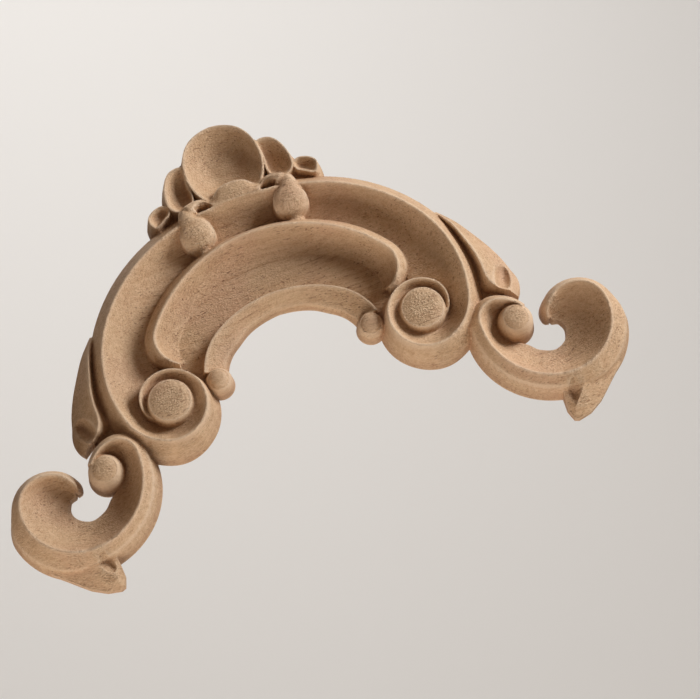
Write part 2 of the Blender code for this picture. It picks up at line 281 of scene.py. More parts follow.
def mirrored(rows):  # the same rows on the other side of the middle line, in the opposite order
    return tuple((-row[0], *row[1:]) for row in rows[::-1])


# Rows (x, y, outward x, outward y, middle x, middle y, height) round a path of places with half widths
def aroundPath(path):
    line = flowing(path, drafting["pathSteps"])
    way = np.gradient(line[:, :2], axis=0)
    way /= np.linalg.norm(way, axis=1)[:, None]
    side = np.stack([way[:, 1], -way[:, 0]], 1)
    rays, at = list(side), list(range(len(line)))
    for end, first in ((len(line) - 1, 1), (0, -1)):
        for turn in np.linspace(0, math.pi, drafting["endRays"])[1:-1]:
            rays.append((side[end] * math.cos(turn) + way[end] * math.sin(turn)) * first)
            at.append(end)
        if first == 1:
            rays += list(-side[::-1])
            at += list(range(len(line)))[::-1]
    rays, spine = np.array(rays + rays[:1]), line[at + at[:1]]
    middle = spine[:, :2]
    return np.concatenate([middle + rays * spine[:, 2:3], rays, middle + rays * drafting["nearMiddle"],
                           spine[:, 3:4]], axis=1)


# A form is its strip as rows and columns of points, with a tree for finding its height at a place
def makeForm(name, tree, points, outward, inner, sizes, bulge=0.0, **tables):
    count = len(points)
    mesh = bpy.data.meshes.new(name)
    mesh.from_pydata([(x, y, 0) for x, y in points], [(i, i + 1) for i in range(count - 1)], [])
    for label, rows in (("outward", outward), ("innerEdge", inner)):
        flat = np.zeros((count, 3))
        flat[:, :2] = rows
        mesh.attributes.new(label, "FLOAT_VECTOR", "POINT").data.foreach_set("vector", flat.ravel())
    for label, value in dict(tables, bulge=bulge).items():
        mesh.attributes.new(label, "FLOAT", "POINT").data.foreach_set("value", np.zeros(count) + value)
    rail = bpy.data.objects.new(name, mesh)
    bpy.context.scene.collection.objects.link(rail)
    sweep = rail.modifiers.new("sweep", "NODES")
    sweep.node_group = tree
    given = dict(formSizes, **sizes)
    for item in tree.interface.items_tree:
        if item.in_out == "INPUT" and item.name in given:
            sweep[item.identifier] = float(given[item.name])
    swept = bpy.data.meshes.new_from_object(rail.evaluated_get(bpy.context.evaluated_depsgraph_get()))
    spots = np.empty(len(swept.vertices) * 3)
    swept.vertices.foreach_get("co", spots)
    faces = [tuple(face.vertices) for face in swept.polygons]
    bpy.data.objects.remove(rail)
    bpy.data.meshes.remove(swept)
    bpy.data.meshes.remove(mesh)
    spots = spots.reshape(count, columnCount, 3)
    return dict(rows=spots, finder=BVHTree.FromPolygons(spots.reshape(-1, 3).tolist(), faces),
                low=spots.min((0, 1)), high=spots.max((0, 1)))


def plateForm(outline, height):
    spots = np.array([(x, y, height) for x, y in outline], float)
    return dict(rows=None, finder=BVHTree.FromPolygons(spots.tolist(), [tuple(range(len(spots)))]),
                low=spots.min(0), high=spots.max(0))


# What can be changed on each form of the carving. The tables of a moulding run along its crest, and across is
# the way from the crest to the inner edge
outerScroll = dict(
    start=(0, 54.0), heading=0,
    arcs=((81, -17), (51, -38.7), (36.6, -52.1), (15.9, -54.5), (11.6, -105.2), (10.4, -134), (7, -60),
          (6, -40)),
    crest=((0, 12.0), (150, 12.0), (158, 11.2), (164, 8.6)),
    floor=((0, 5.0), (92, 5.0), (104, 6.4), (112, 8.0), (122, 8.9), (134, 9.2), (164, 8.4)),
    band=((0, 4.8), (100, 4.9), (108, 5.0), (118, 4.0), (128, 3.4), (136, 2.3), (144, 1.2), (158, 0.9),
          (164, 0.5)),
    shoulder=((0, 4.5), (98, 4.4), (112, 2.6), (128, 1.6), (136, 1.2), (144, 0.7), (158, 0.5), (164, 0.3)),
    shoulderHeight=((0, 4.8), (98, 4.8), (112, 6.5), (164, 6.5)),
    across=((0, 8.6), (25, 9.0), (60, 10.5), (75, 14.0), (81, 13.8), (90, 8.6), (100, 6.2), (110, 5.4),
            (128, 4.0), (136, 3.2), (144, 2.6), (158, 2.1), (164, 1.2)),
    bulge=0.1, sizes=dict(tuck=2.0))
innerScroll = dict(
    start=(0, 42.1), heading=0, arcs=((47, -53.2), (8.3, -66.7), (7.3, -30.7), (4.4, -16)),
    crest=((0, 11.5), (53, 11.5), (58.5, 9.0)), floor=((0, 3.5), (58.5, 3.5)),
    band=((0, 3.3), (15, 3.9), (35, 4.8), (50, 4.6), (55, 2.4), (58.5, 1.4)),
    edge=((0, 0, 33.8), (15, 12.8, 32.6), (24, 20.0, 29.8), (33, 26.8, 25.8), (45, 32.4, 19.1),
          (51, 33.4, 15.8), (55, 33.4, 13.8), (58.5, 32.6, 12.6)),
    shoulderShare=0.62, shoulderHeight=7.6, bulge=0.35, sizes=dict(tuck=0.2, tuckDrop=0.15))
smallArch = dict(
    start=(0, 22.3), heading=0, arcs=((37.6, -30.8), (19.5, -43)), crest=((0, 8.0), (35, 8.0)),
    floor=((0, 4.4), (35, 4.4)), band=1.4, shoulder=0.9, shoulderHeight=3.0,
    across=((0, 4.3), (12, 4.9), (20, 5.8), (33, 6.0)),
    bulge=0.0, sizes=dict(lip=0.9, tuck=0.7, tuckDrop=2.6))
hookEnd = dict(
    start=(69.6, -10), heading=123,
    arcs=((10.7, 46.7), (6, 94.6), (22.3, 82.4), (18.2, 71.5), (15.3, 43.5), (8.6, 59.3), (10.2, 72),
          (4, 30), (1.0, 80)),
    crest=((0, 11.4), (20, 12.0), (92, 12.0), (102, 11.2), (106, 9.8), (110, 6.5)),
    floor=((0, 4.0), (110, 4.0)),
    band=((0, 2.2), (12, 3.6), (30, 4.8), (50, 5.1), (66, 6.5), (78, 6.2), (86, 4.0), (100, 3.0), (106, 2.4),
          (109, 1.2), (110, 0.4)),
    shoulderShare=((0, 0.7), (10, 0.6), (52, 0.56), (64, 0.74), (110, 0.78)),  # of the band
    shoulderHeight=((0, 8.6), (10, 9.2), (52, 9.0), (64, 7.0), (102, 6.6), (110, 3.4)),
    bulge=((0, 0.06), (28, -0.08), (44, -0.12), (60, -0.12), (76, 0.06), (110, 0.06)),
    edge=((0, 67.6, -10.8), (7, 65.4, -9.9), (14, 63.2, -11.6), (22, 62.9, -14.6), (30, 64.6, -18.0),
          (36, 67.8, -20.4), (43, 70.6, -23.2), (54, 75.2, -24.8), (65, 79.2, -22.9), (80, 80.7, -19.4),
          (92, 79.9, -16.9), (100, 79.1, -16.3), (106, 78.3, -16.1), (110, 77.6, -16.0)),
    sizes={})
mouldings = dict(outerScroll=outerScroll, innerScroll=innerScroll, smallArch=smallArch, hookEnd=hookEnd)
bosses = dict(  # centre, radius of the top, height of its edge and middle, width of the wall
    bigBoss=dict(centre=(41.0, 0.2), radius=6.2, edge=11.9, middle=12.5, wall=1.5),
    smallBoss=dict(centre=(66.5, -12.9), radius=3.7, edge=11.4, middle=12.3, wall=2.3),
    bead=dict(centre=(24.8, 2.2), radius=3.1, edge=8.0, middle=9.3, wall=1.4))
bossWall = dict(spread=0.1, shoulder=0.7, shoulderHeight=0.72, bulge=0.5)  # the shoulder's two are shares
shellSide = (  # the right half of the shell's rim, from the top
    (0, 79.9, 0.9), (4.4, 79.1, 0.9), (8.0, 77.2, 0.9), (10.6, 74.0, 1.0), (11.9, 70, 1.5), (12.2, 65.6, 1.5),
    (11.3, 61.4, 1.4), (9.8, 58.6, 1.1), (8.0, 56.7, 0.7), (4.5, 56.0, 0.5), (0, 56.0, 0.5))
cups = dict(  # rim as (x, y, flare of the outside), its height, the lowest place of the dish and its depth
    shell=dict(rim=shellSide + mirrored(shellSide[1:-1]), height=9.8, dish=(0, 67.6), depth=6.0),
    lobe=dict(rim=((12.6, 70.6, 0.5), (14.8, 70.9, 0.7), (17.2, 70.0, 0.9), (19.1, 67.6, 1.1),
                   (20.2, 64.6, 1.3), (20.6, 61.6, 1.4), (20.3, 59.4, 1.2), (19.2, 57.8, 0.8),
                   (17.4, 57.0, 0.6), (14.8, 57.5, 0.5), (12.9, 58.8, 0.3), (12.4, 61.4, 0.1),
                   (12.8, 65, 0.1), (12.5, 68.6, 0.1)),
              height=9.2, dish=(13.8, 62.0), depth=3.9),
    bud=dict(rim=((20.8, 59.8, 0.4), (22.4, 60.9, 0.6), (24.4, 60.7, 0.7), (26.4, 59.8, 0.8),
                  (27.7, 58.3, 0.9), (27.5, 56.6, 1.6), (26.4, 54.9, 2.4), (25.0, 55.2, 0.9),
                  (23.2, 56.4, 0.6), (21.2, 57.7, 0.5)),
             height=8.6, dish=(23.4, 58.4), depth=2.4))
cupWall = dict(spread=0.35, shoulderHeight=3.0, bulge=0.15)
leaf = dict(  # heights, bulge and slope go by the number of the rim's point
    rim=((56.4, 29.6), (58.7, 25.2), (60.0, 21.6), (61.2, 17.4), (62.4, 12.8), (63.1, 7.9), (63.1, 4.4),
         (63.6, 1.3), (64.9, -0.9), (66.8, -2.3)),
    outline=((57.0, 31.0), (60.6, 27.0), (62.7, 24.2), (65.3, 19.9), (68.4, 14.3), (70.7, 9.0), (71.9, 4.9),
             (73.0, 0.8), (72.4, -2.6), (70.8, -5.0)),
    heights=((0, 5.0), (1, 7.8), (2, 9.4), (3, 10.0), (4, 10.2), (8, 10.2), (9, 9.8)),
    bulge=((0, -0.3), (4, -0.2), (6, 0.1), (7, 0.35), (9, 0.35)),
    slope=((0, 0.4), (2, 0.5), (4, 1.2), (6, 2.3), (7, 3.2), (9, 3.2)),
    foot=2.6, floor=4.2, spread=0.15, sizes=dict(lip=0.75))
tail = dict(  # rim as (x, y, height, ridge x, ridge y, ridge height)
    rows=((72.2, -38.0, 6.0, 79, -38.4, 8.0), (71.9, -43.8, 3.6, 74.4, -43.4, 5.6),
          (72.8, -46.8, 2.6, 73.8, -44.2, 5.4), (74.0, -47.3, 2.6, 73.8, -44.2, 5.4),
          (78.0, -46.6, 3.0, 73.8, -44.2, 5.4), (82.5, -44.0, 3.4, 79, -38.4, 8.0),
          (88.0, -39.2, 3.8, 79, -38.4, 8.0), (92.0, -35.8, 4.2, 79, -38.4, 8.0),
          (88.0, -33.0, 9.0, 79, -38.4, 8.0), (79.0, -34.5, 9.5, 79, -38.4, 8.0)),
    band=0.3, shoulder=0.21, shoulderDrop=0.1, sizes=dict(lip=1.0))
tongueSide = ((0, 60.1, 10.6), (2.0, 60.0, 10.6), (4.2, 59.4, 10.4), (5.6, 58.3, 10.2), (7.0, 57.1, 10.0),
              (8.6, 56.4, 9.8))
tongue = dict(  # upper edge as (x, y, height), its lower edge and the height that it swells to there
    edge=mirrored(tongueSide[1:]) + tongueSide, lower=53.9, narrowing=0.86, swollen=12.05,
    band=0.6, shoulder=0.4, shoulderDrop=3, sizes=dict(lip=0.3))
pads = dict(  # path as (x, y, half width, height), how far its edge is below its middle
    drop=dict(path=((15.0, 55.8, 2.2, 11.2), (15.9, 54.6, 2.7, 12.5), (16.4, 53.2, 2.7, 13.2),
                    (16.4, 51.8, 3.2, 13.4), (16.0, 50.2, 4.3, 13.5), (15.6, 48.4, 5.0, 13.4),
                    (15.3, 46.4, 5.2, 12.9), (15.2, 44.4, 4.5, 11.6), (15.1, 42.6, 2.6, 9.6)), fall=1.7),
    arm=dict(path=((8.3, 56.0, 0.6, 9.9), (9.4, 56.9, 0.7, 10.3), (11.2, 57.3, 0.8, 10.8),
                   (13.0, 56.9, 1.1, 11.5), (14.6, 55.8, 1.7, 12.3)), fall=0.7))
padWall = dict(band=0.7, shoulder=0.5, shoulderHeight=0.6, bulge=0.3)  # shoulderHeight is a share
scoops = (  # cut into the finished surface, on both sides
    dict(centre=(67.9, 1.5), reach=(2.7, 5.2), turn=-20, depth=3.2, power=1.1),
    dict(centre=(10.7, 55.1), reach=(2.7, 1.2), turn=6, depth=5.6, power=0.6),
    dict(centre=(75.2, -39.4), reach=(2.0, 3.4), turn=-14, depth=1.6, power=1.0))
plates = dict(
    panel=(((-5, 36), (10, 35.6), (24, 30.5), (33, 22), (35.5, 15), (33, 6), (26, 2), (20, 9), (10, 19),
            (0, 21.4), (-5, 21.4)), 3.0),
    web=(((51, 33), (55.5, 31.6), (62, 21), (66, 4), (68, -6), (60, -8), (54, -4)), 4.2),
    foot=(((21, 8), (28, 16), (41, 18), (46, 12), (40, 4), (32, -1), (26.5, -1)), 3.3),
    crownBack=(((-5, 48), (24, 48), (27, 55), (20, 66), (8, 78), (-5, 79)), 4.4))
roughPlaces = (  # (x, y, radius, strength) of the places that the tool left fuzzy, on both sides
    (41.0, 0.2, 6.6, 0.9), (66.5, -12.9, 4.0, 0.6), (24.8, 2.2, 3.0, 0.3), (48.5, -11.5, 4.5, 0.8),
    (42.0, -14.5, 4.0, 0.5), (15.2, 45.5, 4.6, 0.9), (24.0, 49.6, 4.0, 0.5), (30.0, 46.6, 3.6, 0.5),
    (0.0, 54.6, 5.0, 0.5), (76.0, -36.6, 4.4, 0.9), (83.0, -35.5, 4.0, 0.7), (76.0, -42.5, 4.0, 0.9),
    (69.5, -32.5, 3.4, 0.5), (72.0, -29.0, 6.0, 0.4), (79.0, -11.0, 3.0, 1.0), (0.0, 40.5, 4.0, 0.4),
    (12.0, 40.5, 4.0, 0.5), (6.0, 23.0, 4.0, 0.5), (16.0, 20.0, 4.0, 0.4), (67.0, -4.5, 3.0, 0.5),
    (36.4, 12.0, 2.4, 0.9), (3.0, 76.0, 5.0, 0.3))
carving = dict(
    spacing=0.42, softMeeting=0.6, passes=2, valleyFill=0.45, crestWear=0.06, largestLift=0.25, sharpAngle=42,
    coverOfOthers=0.15, coverOfOwn=0.6,  # an edge shows where nothing is this much above it
    chainGap=0.8, clearCell=0.62,  # shares of the spacing
    lastGap=0.3,  # share of the gap in a chain
    sameSpot=0.03, meeting=1e-4, backMeeting=1e-5, trims=4)
# Where the surface counts as hollow (painted shade), as a raised edge (painted highlight) and as rough, with
# depths and heights in millimetres
marks = dict(hollowPasses=10, hollowDepth=0.8, edgePasses=2, edgeFrom=0.04, edgeFull=0.22, edgeLowest=6.5,
             edgeFade=1.5, rough=0.28, roughFade=2)
rayStart = 40.0  # well above every form
middleLimit = 1e-4  # a point nearer than this is on the middle line


def readAlong(value, along):  # one number, or a table read at each place
    return steady(value, along) if isinstance(value, tuple) else value


def mouldingForm(name, tree, form):
    stations = arcLine(form["start"], form["heading"], form["arcs"])
    rows = np.array(overMiddle(stations) if form["start"][0] == 0 else stations)
    along = np.abs(rows[:, 0])
    points, outward = rows[:, 1:3], rows[:, 3:5]
    if "edge" in form:
        table = flowing(form["edge"], drafting["edgeSteps"])
        inner = np.stack([np.interp(along, table[:, 0], table[:, k]) for k in (1, 2)], 1)
        inner[:, 0] *= np.where(rows[:, 0] < 0, -1, 1)
    else:
        inner = points - outward * steady(form["across"], along)[:, None]
    band = readAlong(form["band"], along)
    if "shoulderShare" in form:
        shoulder = band * readAlong(form["shoulderShare"], along)
    else:
        shoulder = readAlong(form["shoulder"], along)
    return makeForm(name, tree, points, outward, inner, form["sizes"], bulge=readAlong(form["bulge"], along),
                    bandWidth=band, shoulderWidth=shoulder,
                    shoulderHeight=readAlong(form["shoulderHeight"], along),
                    crestHeight=steady(form["crest"], along), floorHeight=steady(form["floor"], along))


def bossForm(name, tree, boss):
    turn = np.linspace(0, math.tau, drafting["bossRays"])
    ray = np.stack([np.cos(turn), np.sin(turn)], 1)
    centre = np.array(boss["centre"])
    return makeForm(name, tree, centre + ray * boss["radius"], ray, centre + ray * drafting["nearMiddle"],
                    dict(swell=1.0), bulge=bossWall["bulge"], bandWidth=boss["wall"] + bossWall["spread"],
                    shoulderWidth=boss["wall"] * bossWall["shoulder"],
                    shoulderHeight=boss["edge"] * bossWall["shoulderHeight"],
                    crestHeight=boss["edge"], floorHeight=boss["middle"])


def cupForm(name, tree, cup):
    rim = flowing(cup["rim"], drafting["rimSteps"], closed=True)
    way = np.roll(rim[:-1, :2], -1, 0) - np.roll(rim[:-1, :2], 1, 0)
    ray = np.stack([-way[:, 1], way[:, 0]], 1) / np.linalg.norm(way, axis=1)[:, None]
    ray = np.concatenate([ray, ray[:1]])
    dish = np.array(cup["dish"])
    return makeForm(name, tree, rim[:, :2], ray, dish + (rim[:, :2] - dish) * drafting["nearMiddle"],
                    dict(lip=0.0), bulge=cupWall["bulge"], bandWidth=rim[:, 2] + cupWall["spread"],
                    shoulderWidth=rim[:, 2], shoulderHeight=cupWall["shoulderHeight"],
                    crestHeight=cup["height"], floorHeight=cup["height"] - cup["depth"])


def leafForm(tree):
    rim, outline = (flowing(leaf[label], drafting["leafSteps"]) for label in ("rim", "outline"))
    away = outline - rim
    far = np.linalg.norm(away, axis=1)
    away /= far[:, None]
    places = np.linspace(0, len(leaf["rim"]) - 1, len(rim))
    top, bulge, slope = (steady(leaf[label], places) for label in ("heights", "bulge", "slope"))
    return makeForm("leaf", tree, rim, away, rim - away * slope[:, None], leaf["sizes"], bulge=bulge,
                    bandWidth=far + leaf["spread"], shoulderWidth=far, shoulderHeight=leaf["foot"],
                    crestHeight=top, floorHeight=leaf["floor"])


def tailForm(tree):
    rows = np.array(tail["rows"] + tail["rows"][:1], float)
    shares = np.linspace(0, 1, drafting["tailSteps"] + 1)[:-1]
    rows = np.array([a + (b - a) * share for a, b in zip(rows, rows[1:]) for share in shares] + [rows[0]])
    ray = rows[:, :2] - rows[:, 3:5]
    ray /= np.linalg.norm(ray, axis=1)[:, None]
    return makeForm("tail", tree, rows[:, :2], ray, rows[:, 3:5] + ray * drafting["nearMiddle"],
                    tail["sizes"], bandWidth=tail["band"], shoulderWidth=tail["shoulder"],
                    shoulderHeight=rows[:, 2] - tail["shoulderDrop"], crestHeight=rows[:, 2],
                    floorHeight=rows[:, 5])


def tongueForm(tree):
    rows = flowing(tongue["edge"], drafting["tongueSteps"])
    way = np.gradient(rows[:, :2], axis=0)
    ray = np.stack([-way[:, 1], way[:, 0]], 1) / np.linalg.norm(way, axis=1)[:, None]
    lower = np.stack([rows[:, 0] * tongue["narrowing"], np.full(len(rows), tongue["lower"])], 1)
    return makeForm("tongue", tree, rows[:, :2], ray, lower, tongue["sizes"], bandWidth=tongue["band"],
                    shoulderWidth=tongue["shoulder"], shoulderHeight=rows[:, 2] - tongue["shoulderDrop"],
                    crestHeight=rows[:, 2], floorHeight=tongue["swollen"])


def padForm(name, tree, pad):
    rows = aroundPath(pad["path"])
    height = rows[:, 6]
    return makeForm(name, tree, rows[:, :2], rows[:, 2:4], rows[:, 4:6], dict(swell=1.0),
                    bulge=padWall["bulge"], bandWidth=padWall["band"], shoulderWidth=padWall["shoulder"],
                    shoulderHeight=height * padWall["shoulderHeight"], crestHeight=height - pad["fall"],
                    floorHeight=height)


def makeForms(tree):
    forms = [mouldingForm(name, tree, form) for name, form in mouldings.items()]
    forms += [bossForm(name, tree, boss) for name, boss in bosses.items()]
    forms += [cupForm(name, tree, cup) for name, cup in cups.items()]
    forms += [leafForm(tree), tailForm(tree), tongueForm(tree)]
    forms += [padForm(name, tree, pad) for name, pad in pads.items()]
    return forms + [plateForm(outline, height) for outline, height in plates.values()]


def heightsAt(forms, x, y):
    found = []
    for form in forms:
        if form["low"][0] <= x <= form["high"][0] and form["low"][1] <= y <= form["high"][1]:
            hit = form["finder"].ray_cast(Vector((x, y, rayStart)), Vector((0, 0, -1)))[0]
            if hit is not None:
                found.append(hit.z)
    return found


def softTop(found, soft):  # the highest of the heights, with a small fillet where two forms meet
    if len(found) == 1:
        return found[0]
    second, first = sorted(found)[-2:]
    near = max(soft - (first - second), 0) / soft
    return first + near * near * soft / 4


def drawnLines(forms):  # the edges of each form, where they can be seen, as chains of (x, y, z)
    # the column whose place decides whether each column's line is drawn
    partners = {column: shoulderColumn for column in range(shoulderColumn + 1)}
    partners.update({column: column for column in (crestColumn, innerCrestColumn, innerEdgeColumn)})
    partners.update({tuckColumn: innerEdgeColumn, dropColumn: innerEdgeColumn})
    chains = []
    for form in forms:
        if form["rows"] is None:
            continue
        rows = form["rows"]
        others = [other for other in forms if other is not form]
        seen = {}
        for column in set(partners.values()):
            for i, (x, y, z) in enumerate(rows[:, column]):
                own = heightsAt([form], x, y)
                covering = heightsAt(others, x, y)
                seen[i, column] = (max(covering + [0]) < z + carving["coverOfOthers"]
                                   and max(own + [0]) < z + carving["coverOfOwn"])
        for column, partner in partners.items():
            chain = []
            for i, (x, y, z) in enumerate(rows[:, column]):
                if seen[i, partner] and x > -middleLimit:
                    chain.append((max(x, 0.0), y, z))
                else:
                    chains.append(chain)
                    chain = []
            chains.append(chain)
        if np.linalg.norm(rows[0, 0] - rows[-1, 0]) > 1:  # the open ends of a strip
            for end in (0, -1):
                if rows[end, shoulderColumn, 0] > 1:
                    chains.append([tuple(spot) for spot in rows[end]])
    return [chain for chain in chains if len(chain) > 1]


def thinned(chain, gap):  # drops points closer together than gap
    kept = [chain[0]]
    for spot in chain[1:-1]:
        if math.dist(spot[:2], kept[-1][:2]) >= gap:
            kept.append(spot)
    if math.dist(chain[-1][:2], kept[-1][:2]) > gap * carving["lastGap"]:
        kept.append(chain[-1])
    return kept


def halfSurface(forms, spacing):
    spots, known, edges = [], [], []
    taken = {}

    def add(x, y, z=None):
        key = (round(x / carving["sameSpot"]), round(y / carving["sameSpot"]))
        if key not in taken:
            taken[key] = len(spots)
            spots.append(Vector((x, y)))
            known.append(z)
        return taken[key]

    for chain in drawnLines(forms):
        ids = [add(*spot) for spot in thinned(chain, spacing * carving["chainGap"])]
        edges += [(a, b) for a, b in zip(ids, ids[1:]) if a != b]
    low = min(form["low"][1] for form in forms)
    high = max(form["high"][1] for form in forms)
    reach = max(form["high"][0] for form in forms)
    middle = [add(0.0, y) for y in np.arange(low, high + spacing, spacing)]
    edges += list(zip(middle, middle[1:]))
    near = set()
    cell = spacing * carving["clearCell"]
    for spot in spots:
        near.add((math.floor(spot.x / cell), math.floor(spot.y / cell)))
    rowGap = spacing * math.sqrt(0.75)
    for j in range(int((high - low) / rowGap) + 2):
        for i in range(int(reach / spacing) + 2):
            x = (i + (0.5 if j % 2 else 1.0)) * spacing
            y = low + j * rowGap
            if (math.floor(x / cell), math.floor(y / cell)) not in near and heightsAt(forms, x, y):
                spots.append(Vector((x, y)))
                known.append(None)
    print("points of the half:", len(spots))
    flat, _, faces, origins, _, _ = delaunay_2d_cdt(spots, edges, [], 0, carving["meeting"])
    soft = carving["softMeeting"]
    heights = []
    for spot, origin in zip(flat, origins):
        found = heightsAt(forms, spot.x, spot.y)
        drawn = [known[k] for k in origin if known[k] is not None]
        heights.append(max([softTop(found, soft) if found else 0.0] + drawn))
    kept = []
    for face in faces:
        centre = sum((flat[k] for k in face), Vector((0, 0))) / 3
        if centre.x > 0 and heightsAt(forms, centre.x, centre.y):
            kept.append(face)
    return np.array([(spot.x, spot.y, z) for spot, z in zip(flat, heights)]), np.array(kept)


def edgesOf(faces):
    pairs = np.sort(np.concatenate([faces[:, [0, 1]], faces[:, [1, 2]], faces[:, [2, 0]]]), axis=1)
    return np.unique(pairs, axis=0, return_counts=True)


def neighbourMean(values, pairs):
    total, count = np.zeros(len(values)), np.zeros(len(values))
    for a, b in ((0, 1), (1, 0)):
        np.add.at(total, pairs[:, a], values[pairs[:, b]])
        np.add.at(count, pairs[:, a], 1)
    return total / np.maximum(count, 1)


# Drops the faces along the middle line, and the corners that hang on the outline by one edge
def trimmed(spots, faces):
    faces = faces[(spots[faces, 0] > middleLimit).any(1)]
    for _ in range(carving["trims"]):
        pairs, counts = edgesOf(faces)
        border = np.unique(pairs[counts == 1])
        inner = ~np.isin(faces, border) | (spots[faces, 0] < middleLimit)
        faces = faces[inner.any(1)]
    used = np.unique(faces)
    place = np.full(len(spots), -1)
    place[used] = np.arange(len(used))
    return spots[used], place[faces]


def bothHalves(spots, faces):
    onMiddle = spots[:, 0] < middleLimit
    spots[onMiddle, 0] = 0
    twin = np.where(onMiddle, np.arange(len(spots)), 0)
    twin[~onMiddle] = len(spots) + np.arange((~onMiddle).sum())
    spots = np.concatenate([spots, spots[~onMiddle] * (-1, 1, 1)])
    return spots, np.concatenate([faces, twin[faces][:, ::-1]])


def finishHeights(spots, pairs, rim):  # fills the valleys a little, wears the crests and cuts the scoops
    height = spots[:, 2]
    largest = carving["largestLift"]
    for _ in range(carving["passes"]):
        lift = neighbourMean(height, pairs) - height
        lift[rim] = 0
        height += (np.clip(lift, 0, largest) * carving["valleyFill"]
                   + np.clip(lift, -largest, 0) * carving["crestWear"])
    for scoop in scoops:
        turn = math.radians(scoop["turn"])
        away = np.stack([np.abs(spots[:, 0]), spots[:, 1]], 1) - scoop["centre"]
        u = (away[:, 0] * math.cos(turn) + away[:, 1] * math.sin(turn)) / scoop["reach"][0]
        v = (away[:, 1] * math.cos(turn) - away[:, 0] * math.sin(turn)) / scoop["reach"][1]
        height -= scoop["depth"] * np.clip(1 - u * u - v * v, 0, 1) ** scoop["power"]
    height[rim] = 0


def surfaceMarks(spots, pairs, rim):  # where the wood is hollow and gets painted shade, is a raised edge and gets a painted highlight, or is rough
    height = spots[:, 2]
    blurred = height.copy()
    for done in range(1, marks["hollowPasses"] + 1):
        blurred = neighbourMean(blurred, pairs)
        if done == marks["edgePasses"]:
            edge = np.clip((height - blurred - marks["edgeFrom"]) / marks["edgeFull"], 0, 1)
    hollow = np.clip((blurred - height) / marks["hollowDepth"], -1, 1)
    hollow[rim] = 0
    high = np.clip((height - marks["edgeLowest"]) / marks["edgeFade"], 0, 1)
    edge = (edge + neighbourMean(edge, pairs)) / 2 * high
    rough = np.full(len(spots), marks["rough"])
    for x, y, radius, strength in roughPlaces:
        near = 1 - np.hypot(np.abs(spots[:, 0]) - x, spots[:, 1] - y) / radius
        rough = np.maximum(rough, np.clip(near * marks["roughFade"], 0, 1) * strength)
    return dict(hollow=hollow, rough=rough, edge=edge)


def carvedMesh(forms):
    spots, faces = halfSurface(forms, carving["spacing"] * (1))
    spots, faces = bothHalves(*trimmed(spots, faces))
    pairs, counts = edgesOf(faces)
    border = pairs[counts == 1]
    rim = np.unique(border)
    finishHeights(spots, pairs, rim)
    found = surfaceMarks(spots, pairs, rim)
    faces = np.concatenate([faces, backFaces(spots, rim, border)])
    print("surface:", len(spots), "points,", len(faces), "triangles")
    return spots, faces, found


def backFaces(spots, rim, border):  # the flat back, on the points of the outline
    number = {point: i for i, point in enumerate(rim.tolist())}
    edges = [(number[a], number[b]) for a, b in border.tolist()]
    outline = [Vector(spots[k, :2]) for k in rim]
    _, _, faces, origins, _, _ = delaunay_2d_cdt(outline, edges, [], 0, carving["backMeeting"])
    corners = rim[np.array([origins[k][0] for face in faces for k in face])].reshape(-1, 3)
    centres = spots[corners, :2].mean(1)
    odd = np.zeros(len(centres), bool)
    for a, b in border:  # a place is inside if a line from it crosses the outline an odd number of times
        (ax, ay), (bx, by) = spots[a, :2], spots[b, :2]
        if ay != by:
            crossed = (centres[:, 1] > min(ay, by)) & (centres[:, 1] <= max(ay, by))
            odd ^= crossed & (centres[:, 0] < ax + (centres[:, 1] - ay) * (bx - ax) / (by - ay))
    return corners[odd]


def carvedPiece(forms, material):
    spots, faces, found = carvedMesh(forms)
    mesh = bpy.data.meshes.new("cornerOnlay")
    mesh.from_pydata(spots.tolist(), [], faces.tolist())
    for name, values in found.items():
        mesh.attributes.new(name, "FLOAT", "POINT").data.foreach_set("value", values)
    shape = bmesh.new()
    shape.from_mesh(mesh)
    bmesh.ops.recalc_face_normals(shape, faces=shape.faces[:])
    loose = sum(1 for edge in shape.edges if len(edge.link_faces) != 2)
    print("open edges:", loose)
    shape.to_mesh(mesh)
    shape.free()
    # stands the carving upright in the frame, in metres
    mesh.transform(Matrix.Translation((0, 0, -originHeight * mm)) @ Matrix.Rotation(math.radians(90), 4, "X")
                   @ Matrix.Scale(mm, 4))
    mesh.materials.append(material)
    mesh.shade_smooth()
    mesh.set_sharp_from_angle(angle=math.radians(carving["sharpAngle"]))
    piece = bpy.data.objects.new("cornerOnlayWood", mesh)
    bpy.context.scene.collection.objects.link(piece)
    return piece


# shade is the painted shade of the hollows, and edge is the painted highlight of the raised edges and
# swelling forms
woodLook = dict(
    pale=(0.680, 0.462, 0.280, 1), deep=(0.540, 0.325, 0.180, 1), streak=(0.300, 0.150, 0.070, 1),
    pore=(0.200, 0.078, 0.038, 1), pink=(0.640, 0.370, 0.240, 1), olive=(0.560, 0.400, 0.210, 1),
    fuzz=(0.760, 0.560, 0.360, 1), shade=(0.320, 0.140, 0.070, 1), edge=(0.800, 0.610, 0.430, 1),
    roughness=0.66, bump=0.8)
patterns = dict(  # the times that each changes in a millimetre along x, y and z, its detail and its roughness
    fibre=((0.045, 0.8, 0.8), 5.0, 0.62), hair=((0.22, 3.6, 3.6), 3.0, 0.5),
    line=((0.07, 1.7, 1.7), 1.0, 0.5), pore=((0.62, 2.3, 2.3), 0.0, 0.5), fleck=((1.1, 3.0, 3.0), 2.0, 0.5),
    fuzz=((1.5, 2.0, 2.0), 2.0, 0.6), tool=((0.35, 0.35, 0.35), 2.0, 0.5))
poreShare = dict(sparse=0.15, crowded=0.85, smooth=1.15)  # more pores in crowded patches, fewer where rough
patchWaves = dict(bend=0.03, line=0.09, crowd=0.07, pink=0.045, olive=0.038)
patchShifts = dict(crowd=(31.0, 7.0, 12.0), pink=(5.0, 3.0, 9.0), olive=(50.0, 20.0, 3.0))
bendReach = (0.0, 9.0, 9.0)  # how far the grain wanders, in millimetres
